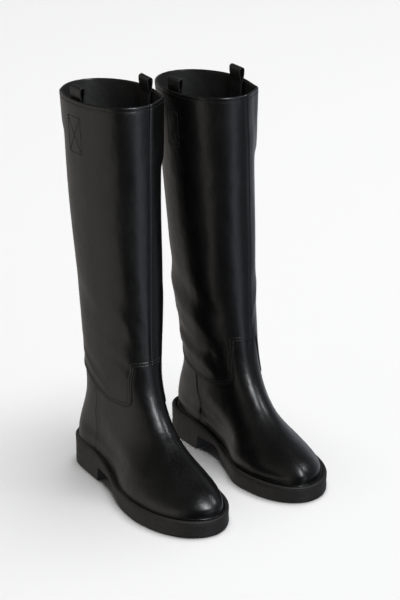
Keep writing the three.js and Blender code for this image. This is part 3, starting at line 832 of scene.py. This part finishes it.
def pull_loop(upper, half_name):
    """One band: up the inside of the shaft, over above the topline and down again."""
    ends, (z_low, _) = LOOP_BOX[half_name]
    turn = round_boot(half_name, sum(ends) / 2)
    level_top = TOPLINE - 0.05
    inward = unit(-upper.outward(turn, level_top) * (1, 1, 0))
    tangent = np.cross(inward, UP)
    leg_depth = sum(LOOP_LEGS) / 2
    middle = upper.at(turn, level_top) + inward * leg_depth
    middle[2] = TOPLINE_Z
    line_y, line_z = loop_line(z_low - LOOP_BELOW_BOX - TOPLINE_Z, leg_depth)
    leg = smooth(-2, -12, line_z)[:, None, None]
    w = clustered(LOOP_WIDTH, EDGE_STEPS[:7], 2.2) - LOOP_WIDTH / 2
    edge_gap = LOOP_WIDTH / 2 - np.abs(w)
    half_band = LOOP_BAND / 2 - rolled_edge(edge_gap, 0.55) + 0.05 * bell(edge_gap - 1.2, 0.8)
    normal_y, normal_z = unit(np.stack([-np.gradient(line_z), np.gradient(line_y)], -1)).T
    onward = tangent @ (upper.sample(turn + 0.01, level_top) - upper.sample(turn, level_top))
    turns = turn + w / float(upper.speeds(turn, 10.8)[0]) * np.sign(onward)
    skins = []
    for shift in (half_band, -half_band):
        y = line_y[:, None] + normal_y[:, None] * shift
        z = line_z[:, None] + normal_z[:, None] * shift
        straight = middle + tangent * w[:, None] + inward * y[..., None] + UP * z[..., None]
        level = upper.level_at(TOPLINE_Z + np.minimum(z, 0.5))
        follow = upper.at(turns, level, -(leg_depth + y))
        follow[..., 2] = np.where(z < 0, follow[..., 2], TOPLINE_Z + z)
        skins.append(straight + (follow - straight) * leg)
    points, faces = shell(*skins)
    return mended(mesh_piece(upper.side, f"pull_loop_{half_name}", points, faces, "edge"))


# ---- bottom ----
SOLE_STATIONS = (0, 0.08, 0.16, 0.3, 0.42, 0.55, 0.7, 0.82, 0.92, 1)
SOLE_OUTER = (35, 35, 37, 40, 45, 54.5, 59, 54.5, 52.5, 52)
SOLE_INNER = (34.5, 35, 37, 36.5, 33, 41, 52, 49, 48, 47)
SOLE_ROUNDING = (36, 66)  # lengths over which its back and its toe round off
HEEL_FREE_HEIGHT = 18
BREAST = (84.4, 87.2)
ARCH_FALLS = (110, 175)
TREAD_RADIUS = 2.2
TREAD_DEPTH = 2.2
FOREPART_BARS = (180, 187, 272, 277)
HEEL_BARS = (8, 12, 74, 78)
BAR_PITCH = 12.5
BAR_WAVE = (3.2, 7.5)
GROOVE_SIDE = (0.26, 0.5)  # share of the half pitch over which a groove's side rises
GROOVE_ENDS = (4.5, 7.5)  # from the sole's edge
FLAT_RIM = 3.3
GROOVE_DEPTH = 2.5
OUTLINE_POINTS = 480


def sole_top(v):
    return HEEL_SEAT_Z + (FOREPART_Z - HEEL_SEAT_Z) * smooth(*ARCH, v)


def sole_bottom(v):
    lifted = 1 - smooth(*ARCH_FALLS, v)
    return HEEL_FREE_HEIGHT * smooth(*BREAST, v) * lifted


def sole_half_width(v, widths):
    rounding = (rounded_end(v / SOLE_ROUNDING[0])
                * rounded_end((SOLE_LENGTH - v) / SOLE_ROUNDING[1]))
    return through(list(zip(SOLE_STATIONS, widths)), v / SOLE_LENGTH) * rounding


def inward_of(outline):
    along = np.roll(outline, -1, axis=0) - np.roll(outline, 1, axis=0)
    return unit(np.stack([-along[:, 1], along[:, 0]], -1))


def lifted(flat, z):
    return np.concatenate([flat, np.broadcast_to(z, len(flat))[:, None]], axis=1)


def on_bed(flat, above):
    """Points of a plan, at a height over the foot bed."""
    return lifted(flat, sole_top(flat[:, 1]) + above)


def cap_rings(edge, raised, steps, inset_ends):
    """Rings from the middle line out to an edge, [x, v], for a lid or a tread."""
    count = len(edge)
    half = count // 2
    mirrored = edge[(-np.arange(count)) % count]
    low, high = edge[:, 1].min() + inset_ends[0], edge[:, 1].max() - inset_ends[1]
    middle_v = edge[:half + 1, 1]
    middle_x = ((edge + mirrored) / 2)[:half + 1, 0]
    held = np.clip(edge[:, 1], low, high)
    target = np.stack([np.interp(held, middle_v, middle_x), held], -1)
    return [raised(target + (edge - target) * part)
            for part in np.linspace(0, 1, steps + 1)[:-1]]


def zone(ends, v):
    """1 between two edges that fade: where it starts, is whole, begins to end and has ended."""
    return smooth(ends[0], ends[1], v) * (1 - smooth(ends[2], ends[3], v))


def tread(x, v):
    """Depth of the tread's grooves: wavy bars across the forepart and the heel."""
    room = np.where(x > 0, sole_half_width(v, SOLE_OUTER) - x, sole_half_width(v, SOLE_INNER) + x)
    phase = (v + BAR_WAVE[0] * np.cos(x / BAR_WAVE[1])) / BAR_PITCH
    bar = np.abs((phase % 1) - 0.5) * 2
    groove = (1 - smooth(*GROOVE_SIDE, bar)) * smooth(*GROOVE_ENDS, room)
    return TREAD_DEPTH * groove * np.maximum(zone(FOREPART_BARS, v), zone(HEEL_BARS, v))


def unit_sole(side):
    """The moulded sole: tread, heel, arch and side wall in one."""
    base = SOLE_LENGTH * (1 - np.cos(np.pi * np.linspace(0, 1, 210))) / 2
    breast = np.linspace(BREAST[0] - 0.4, BREAST[1] + 0.4, 12)
    keep = (base < breast[0] - 0.6) | (base > breast[-1] + 0.6)
    v = np.sort(np.concatenate([base[keep], breast]))
    outer = np.stack([sole_half_width(v, SOLE_OUTER), v], -1)
    inner = np.stack([-sole_half_width(v, SOLE_INNER), v], -1)
    outline = np.concatenate([outer, inner[-2:0:-1]])
    inward = inward_of(outline)
    rim, cap_ends = 0.8, (32, 48)

    def ground(flat):
        return lifted(flat, sole_bottom(flat[:, 1]) + tread(*flat.T))

    rings = cap_rings(outline + inward * (TREAD_RADIUS + rim), ground, 26, cap_ends)
    for angle in np.linspace(0, np.pi / 2, 6):
        inset = TREAD_RADIUS * (1 - math.sin(angle)) + (rim if angle == 0 else 0)
        rings.append(ground(outline + inward * inset) + UP * TREAD_RADIUS * (1 - math.cos(angle)))
    wall_low = ground(outline)[:, 2] + TREAD_RADIUS
    smooth_low = sole_bottom(outline[:, 1]) + TREAD_RADIUS
    wall_high = sole_top(outline[:, 1]) - WELT_THICKNESS - 0.12
    for part in np.linspace(0, 1, 12)[1:]:
        low = wall_low + (smooth_low - wall_low) * smooth(0, 0.4, part)
        hollow = 0.3 * math.sin(math.pi * part)
        rings.append(lifted(outline + inward * hollow, low + (wall_high - low) * part))
    rings.append(lifted(outline + inward * 0.12, wall_high + 0.1))
    rings.append(lifted(outline + inward * rim, wall_high + 0.12))
    lid = cap_rings(outline + inward * rim, lambda flat: on_bed(flat, -WELT_THICKNESS), 8, cap_ends)
    return ringed(side, "sole_moulding", rings + lid[::-1], "rubber")


def feather_outline(upper, count, out):
    around = np.arange(count) / count
    edge = unstood(upper.side, upper.sample(around, np.zeros(count)))
    return edge - inward_of(edge) * out


def welt_rim(upper):
    """The welt: a flat rim, a groove inside it and a flange under the upper, with the path of
    the groove's stitches."""
    part = np.arange(OUTLINE_POINTS) / OUTLINE_POINTS
    half = np.where(part <= 0.5, part, 1 - part)
    v = SOLE_LENGTH * (1 - np.cos(2 * np.pi * half)) / 2
    x = np.where(part <= 0.5, sole_half_width(v, SOLE_OUTER), -sole_half_width(v, SOLE_INNER))
    outline = np.stack([x, v], -1)
    inward = inward_of(outline)
    feather = feather_outline(upper, OUTLINE_POINTS, 0)
    flange = feather + inward_of(feather) * 4
    room = np.linalg.norm(outline - feather, axis=1)
    rim = np.clip(room - 4.4, 2.4, FLAT_RIM)[:, None]
    profile = [
        (0.3, WELT_THICKNESS), (0.05, WELT_THICKNESS - 0.15), (0, WELT_THICKNESS - 0.4), (0, 1.9),
        (0.1, 1.35), (0.34, 0.85), (0.7, 0.45), (1.2, 0.18), (1.8, 0.04), (2.1, 0),
        (rim - 0.2, 0.05), (rim, 0.25), (rim + 0.2, 0.8), (rim + 0.3, GROOVE_DEPTH),
    ]
    rings = [on_bed(outline + inward * inset, -drop) for inset, drop in profile]
    rings += [on_bed(flange, -GROOVE_DEPTH), on_bed(flange, -WELT_THICKNESS), rings[0]]
    # the groove's faces take the darker leather: painted shade in the recess
    piece = ringed(upper.side, "welt_rim", rings, "rubber", (len(rings) - 5, len(rings) - 2))
    return piece, lifted(outline + inward * (rim + 1.15), sole_top(v) - 1.0)


def rand(upper):
    """A covered bead that closes the line between the upper and the welt."""
    radius, height = 0.95, 1.15
    edge = feather_outline(upper, OUTLINE_POINTS, 0)
    outwards = -inward_of(edge)
    centre = on_bed(edge + outwards * (radius - 0.1), 0.25)
    outwards = lifted(outwards, 0)
    rings = [centre + (outwards * math.cos(angle) + UP * height * math.sin(angle)) * radius
             for angle in np.linspace(0, 2 * np.pi, 15)]
    return ringed(upper.side, "rand_piping", rings, "leather")


def insock(upper):
    """A cloth sheet with rounded edges that follows the foot bed."""
    outline = feather_outline(upper, 200, -9.5)
    inward = inward_of(outline)
    bottom, thickness, radius = 3.3, 2.9, 1.2

    def cap(height):
        return cap_rings(outline + inward * radius, lambda flat: on_bed(flat, height), 8, (30, 40))

    rings = cap(bottom)
    for angle in np.linspace(0, np.pi, 9):
        flat = outline + inward * radius * (1 - math.sin(angle))
        rings.append(on_bed(flat, bottom + thickness * (1 - math.cos(angle)) / 2))
    rings += cap(bottom + thickness)[::-1]
    return ringed(upper.side, "insock_cover", rings, "lining")


# ---- materials ----
def feed(tree, socket, value):
    """Links an input to another node's output, or sets it to a value."""
    if isinstance(value, bpy.types.NodeSocket):
        tree.links.new(value, socket)
    else:
        socket.default_value = (*value, 1) if socket.type == "RGBA" else value


def add_node(tree, kind, inputs, **settings):
    node = tree.nodes.new(kind)
    for key, value in settings.items():
        setattr(node, key, value)
    for key, value in inputs.items():
        feed(tree, node.inputs[key], value)
    return node


class Nodes:
    """A short way to write a material's node tree."""

    def __init__(self, name, place=("Attribute", "Vector")):
        self.material = bpy.data.materials.new(name)
        self.material.use_nodes = True
        self.tree = self.material.node_tree
        self.shader = self.tree.nodes["Principled BSDF"]
        kind, output = place
        source = self.add(f"ShaderNode{kind}")
        if kind == "Attribute":
            source.attribute_name = "rest_place"
        self.place = source.outputs[output]

    def add(self, kind, inputs=None, **settings):
        return add_node(self.tree, kind, inputs or {}, **settings)

    def noise(self, scale, detail=3, roughness=0.55):
        return self.add("ShaderNodeTexNoise", {
            "Vector": self.place, "Scale": scale, "Detail": detail,
            "Roughness": roughness}).outputs["Fac"]

    def ranged(self, value, low, high, to_low, to_high):
        return self.add("ShaderNodeMapRange", {
            "Value": value, "From Min": low, "From Max": high, "To Min": to_low,
            "To Max": to_high}).outputs["Result"]

    def mixed(self, factor, first, second):
        return self.add("ShaderNodeMix", {0: factor, 6: first, 7: second},
                        data_type="RGBA").outputs[2]

    def math(self, operation, a, b):
        return self.add("ShaderNodeMath", {0: a, 1: b}, operation=operation).outputs[0]

    def bump(self, height, distance, normal=None):
        inputs = {"Height": height, "Distance": distance, "Strength": 1.0}
        if normal is not None:
            inputs["Normal"] = normal
        return self.add("ShaderNodeBump", inputs).outputs["Normal"]

    def set(self, **inputs):
        for key, value in inputs.items():
            feed(self.tree, self.shader.inputs[key.replace("_", " ")], value)
        return self.material


def leather_material(name, dark, light, rough, grain=1.0):
    """Smooth grain leather: pores, fine creases, slack unevenness and a patchy polish."""
    n = Nodes(name)
    patches = n.noise(28, 4)
    wear = n.noise(160, 3)
    slack = n.noise(42, 2, 0.4)
    puckers = n.noise(190, 3, 0.5)
    creases = n.noise(900, 4, 0.6)
    pores = n.add("ShaderNodeTexVoronoi", {"Vector": n.place, "Scale": 1250.0},
                  feature="SMOOTH_F1").outputs["Distance"]
    colour = n.mixed(n.ranged(patches, 0.35, 0.7, 0, 1), dark, light)
    roughness = n.ranged(n.math("ADD", patches, wear), 0.7, 1.35, *rough)
    soft = n.bump(slack, 0.0011 * grain)
    fine = n.bump(puckers, 0.00014 * grain, soft)
    finer = n.bump(pores, 0.00003 * grain, fine)
    normal = n.bump(creases, 0.00006 * grain, finer)
    return n.set(Base_Color=colour, Roughness=roughness, Normal=normal, Coat_Weight=0.15,
                 Coat_Roughness=0.2, Coat_Normal=soft)


def rubber_material():
    n = Nodes("sole_rubber")
    patches = n.noise(35, 4)
    stipple = n.noise(1500, 2)
    scuffs = n.noise(240, 5, 0.7)
    colour = n.mixed(n.ranged(patches, 0.35, 0.7, 0, 1), (0.0165, 0.0145, 0.0135),
                     (0.023, 0.0205, 0.019))
    normal = n.bump(scuffs, 0.00012, n.bump(stipple, 0.00006))
    return n.set(Base_Color=colour, Roughness=n.ranged(scuffs, 0.3, 0.7, 0.5, 0.68),
                 Normal=normal)


def woven_material(name, dark, light):
    n = Nodes(name)
    threads = [n.add("ShaderNodeTexWave", {"Vector": n.place, "Scale": 420.0, "Distortion": 0.6,
                                           "Detail": 1.0}, bands_direction=axis).outputs["Fac"]
               for axis in ("DIAGONAL", "Z")]
    weave = n.math("MULTIPLY", *threads)
    patches = n.noise(60, 4)
    colour = n.mixed(n.math("MULTIPLY", weave, patches), dark, light)
    return n.set(Base_Color=colour, Roughness=n.ranged(patches, 0.3, 0.7, 0.78, 0.92),
                 Normal=n.bump(weave, 0.00015))


def thread_material():
    n = Nodes("black_thread")
    twist = n.add("ShaderNodeTexWave", {"Vector": n.place, "Scale": 900.0, "Distortion": 1.5},
                  bands_direction="DIAGONAL").outputs["Fac"]
    colour = n.mixed(n.noise(300, 2), (0.016, 0.0155, 0.015), (0.034, 0.032, 0.031))
    return n.set(Base_Color=colour, Roughness=n.ranged(twist, 0, 1, 0.55, 0.72),
                 Normal=n.bump(twist, 0.0001))


def hidden_material(name, dark, light, rough, scale, metallic=0.0):
    n = Nodes(name, ("TexCoord", "Object"))
    grains = n.noise(scale, 5, 0.65)
    return n.set(Base_Color=n.mixed(n.ranged(grains, 0.3, 0.7, 0, 1), dark, light),
                 Roughness=n.ranged(grains, 0.3, 0.7, rough, rough + 0.1),
                 Normal=n.bump(grains, 0.0002), Metallic=metallic)


MATERIALS = {
    "leather": leather_material("smooth_black_leather", (0.0042, 0.0041, 0.004),
                                (0.0068, 0.0066, 0.0064), (0.3, 0.4)),
    "edge": leather_material("matt_black_leather", (0.009, 0.0087, 0.0085),
                             (0.014, 0.0135, 0.013), (0.45, 0.6)),
    "facing": leather_material("facing_leather", (0.012, 0.011, 0.0105),
                               (0.019, 0.0172, 0.0155), (0.62, 0.75), 1.5),
    # darker leather for the welt groove: painted shade in the recess
    "groove": leather_material("welt_groove_painted_shade", (0.0012, 0.0011, 0.001),
                               (0.0024, 0.0022, 0.002), (0.7, 0.85)),
    "rubber": rubber_material(),
    "lining": woven_material("lining_cloth", (0.007, 0.0063, 0.0055), (0.034, 0.03, 0.026)),
    "thread": thread_material(),
    "board": hidden_material("fibre_board", (0.2, 0.14, 0.09), (0.32, 0.24, 0.16), 0.8, 400),
    "cork": hidden_material("cork_granules", (0.14, 0.08, 0.04), (0.42, 0.28, 0.15), 0.85, 250),
    "steel": hidden_material("spring_steel", (0.3, 0.31, 0.32), (0.45, 0.46, 0.47), 0.28, 700,
                             1.0),
}

# ---- build ----
BOX_STITCH_HEIGHTS = (0.12, -8.6)  # over the shaft's face, and inside it on the loop's leg
TOPLINE_ROW = 5  # stitch row, below the topline


def placed(piece, side, nodes=(), body=None):
    """Hangs a piece on the body it moves with, or else bakes its place into its points, and hides
    the CAD nodes it stands for.
    """
    if body:
        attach(piece, f"{side}_{body}")
    else:
        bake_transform(piece)
    if nodes:
        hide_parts(*(f"{side}_{node}" for node in nodes))


# Skins inside the shaft and the foot: piece, levels, depth, thickness, finish, rows, rounding
# and ripple, and then the material slot, the CAD nodes and the body.
LININGS = [
    (("shaft_lining_cloth", (4.95, 10.6), 3.0, 0.8, "lining", 150, 0.3, 1.5),
     "lining", ["shaft_lining", "ankle_lining"], None),
    (("foot_lining_cloth", (0.15, 5.1), 4.0, 0.8, "lining", 70, 0.3, 0.4),
     "lining", ["foot_lining"], None),
    (("topline_facing_leather", (10.52, 10.985), 2.45, 1.15, "facing", 12, 0.5, 0),
     "leather", ["topline_facing"], "shaft"),
]

for side in SIDES:
    upper = Upper(side)
    halves = {name: Half(upper, name) for name in ("outer", "inner")}
    placed(vamp(upper, halves), side, ["vamp"])
    placed(counter(upper, halves), side, ["heel_counter"])
    for name, half in halves.items():
        placed(shaft_panel(upper, half), side,
               [f"shaft_panel_{name}", f"ankle_panel_{name}"])
    for skin, slot, nodes, body in LININGS:
        placed(lining(upper, *skin), side, nodes, body)

    rows = [panel_stitch_path(upper, half, inset)
            for half in halves.values() for inset in PANEL_ROWS]
    placed(stitch_rows(side, "panel_stitching", rows), side)
    rows = [row for out in BOX_STITCH_HEIGHTS for name in halves
            for row in box_stitch_paths(upper, name, out)]
    placed(stitch_rows(side, "loop_box_stitching", rows), side, body="shaft")
    top_level = TOPLINE - TOPLINE_ROW / upper.per_level_top
    row = on_surface(upper, np.linspace(0, 1, 400), np.full(400, top_level), 0)
    placed(stitch_rows(side, "topline_stitching", [row], 2.6, 0.7, 0.28), side,
           body="shaft")

    for name in halves:
        placed(pull_loop(upper, name), side, [f"loop_tab_{name}", f"loop_arch_{name}"])

    placed(unit_sole(side), side, ["unit_sole"], "foot")
    welt, path = welt_rim(upper)
    placed(welt, side, ["welt"], "foot")
    path = stood(side, np.concatenate([path, path[:1]]))
    placed(stitch_rows(side, "welt_stitching", [(path, UP + 0 * path)], 3.9, 1.3, 0.62), side,
           body="foot")
    placed(rand(upper), side, ["rand_bead"], "foot")
    placed(insock(upper), side, ["insock"], "foot")

HIDDEN = {
    "insole_board": "board", "toe_puff": "board", "counter_stiffener": "board",
    "cork_filler": "cork", "steel_shank": "steel", "back_seam_tape": "lining",
}
for side in SIDES:
    for node, material in HIDDEN.items():
        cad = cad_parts[f"{side}_{node}"]
        cad.data.materials.clear()
        cad.data.materials.append(MATERIALS[material])


# ---- studio ----
def studio_floor():
    mesh = bpy.data.meshes.new("studio_floor")
    reach = 14
    mesh.from_pydata([(-reach, -reach, 0), (reach, -reach, 0), (reach, reach, 0),
                      (-reach, reach, 0)], [], [(0, 1, 2, 3)])
    floor = linked("studio_floor", mesh)
    n = Nodes("studio_paper")
    mesh.materials.append(n.set(Base_Color=(0.86, 0.86, 0.86), Roughness=0.9))
    floor.location.z = -0.0002
    floor.visible_glossy = False


TOWARDS_CAMERA = (-0.545, -0.839, 0)
TOWARDS_LEFT = (-0.839, 0.545, 0)
# What stands round the pair: degrees from the camera's side towards its left, and brightness.
SURROUNDINGS = [
    (-180, (0.12, 0.13, 0.15)), (-158, (0.33, 0.345, 0.37)), (-132, (0.17, 0.18, 0.2)),
    (-100, (0.08, 0.088, 0.1)), (-64, (0.07, 0.078, 0.092)), (-52, (0.36, 0.39, 0.45)),
    (-44, (0.52, 0.56, 0.64)), (-36, (0.4, 0.43, 0.49)), (-27, (0.04, 0.042, 0.045)),
    (-18, (0.02, 0.02, 0.02)), (24, (0.02, 0.02, 0.02)), (42, (0.38, 0.365, 0.34)),
    (75, (0.4, 0.385, 0.36)), (110, (0.25, 0.24, 0.225)), (160, (0.21, 0.2, 0.19)),
    (180, (0.12, 0.13, 0.15)),
]
# How bright they are at a height: degrees above the horizon, and a share.
HEIGHTS = [(-60, 0.25), (-44, 0.4), (-27, 0.9), (-14, 1), (2, 0.8), (20, 0.42), (45, 0.1),
           (75, 0.05)]
BRIGHTNESS = 1.75


def studio_world():
    """A bright wall to the left, a strip light at the front right and a dark ceiling."""
    world = bpy.data.worlds.new("studio")
    bpy.context.scene.world = world
    world.use_nodes = True
    tree = world.node_tree
    background = tree.nodes["Background"]

    direction = tree.nodes.new("ShaderNodeTexCoord").outputs["Generated"]
    ahead, left, up = (
        add_node(tree, "ShaderNodeVectorMath", {0: direction, 1: axis}, operation="DOT_PRODUCT")
        .outputs["Value"] for axis in (TOWARDS_CAMERA, TOWARDS_LEFT, (0, 0, 1)))
    angle = add_node(tree, "ShaderNodeMath", {0: left, 1: ahead}, operation="ARCTAN2")
    turn, height = (
        add_node(tree, "ShaderNodeMapRange", {"Value": value, "From Min": -limit,
                                              "From Max": limit}).outputs["Result"]
        for value, limit in ((angle.outputs[0], math.pi), (up, 1)))

    def ramp(factor, stops):
        node = add_node(tree, "ShaderNodeValToRGB", {"Fac": factor})
        node.color_ramp.interpolation = "EASE"
        elements = node.color_ramp.elements
        elements.remove(elements[1])
        for count, (position, colour) in enumerate(stops):
            element = elements[0] if count == 0 else elements.new(position)
            element.position = position
            element.color = (*colour, 1)
        return node.outputs["Color"]

    colour = ramp(turn, [((degrees + 180) / 360, tint) for degrees, tint in SURROUNDINGS])
    share = ramp(height, [((math.sin(math.radians(degrees)) + 1) / 2, (value,) * 3)
                          for degrees, value in HEIGHTS])
    strength = add_node(tree, "ShaderNodeMath", {0: share, 1: BRIGHTNESS}, operation="MULTIPLY")
    feed(tree, background.inputs["Color"], colour)
    feed(tree, background.inputs["Strength"], strength.outputs[0])


# Lights: name, place, width and height, power, colour, and the rays that don't see them.
LIGHTS = [
    ("overhead", (1.7, 0.1, 9.5), (8, 8), 1215, (1, 1, 1), "visible_glossy"),
    ("front_box", (-0.12, -1.26, 1.2), (0.3, 0.85), 16, (0.93, 0.97, 1), "visible_diffuse"),
    ("side_box", (0.93, -0.73, 1.27), (0.36, 0.36), 4.5, (0.95, 0.98, 1), "visible_diffuse"),
]
LIT_PLACE = Vector((0, 0, 0.1))


def studio_lights():
    for name, location, size, power, colour, unseen_by in LIGHTS:
        data = bpy.data.lights.new(name, "AREA")
        data.shape = "RECTANGLE"
        data.size, data.size_y = size
        data.energy = power
        data.color = colour
        lamp = linked(name, data)
        lamp.location = location
        lamp.rotation_mode = "QUATERNION"
        lamp.rotation_quaternion = (LIT_PLACE - Vector(location)).to_track_quat("-Z", "Y")
        setattr(lamp, unseen_by, False)


CAMERA = {"lens": 118.5, "place": (-1.2079, -1.8785, 1.1103), "down": 21.55, "turned": 33.02}


def studio_camera():
    data = bpy.data.cameras.new("camera")
    data.lens, data.sensor_width = CAMERA["lens"], 36
    camera = linked("camera", data)
    camera.location = CAMERA["place"]
    camera.rotation_mode = "XYZ"
    camera.rotation_euler = (math.radians(90 - CAMERA["down"]), 0,
                             math.radians(-CAMERA["turned"]))
    bpy.context.scene.camera = camera


studio_floor()
studio_world()
studio_lights()
studio_camera()
bpy.context.scene.view_settings.view_transform = "Standard"
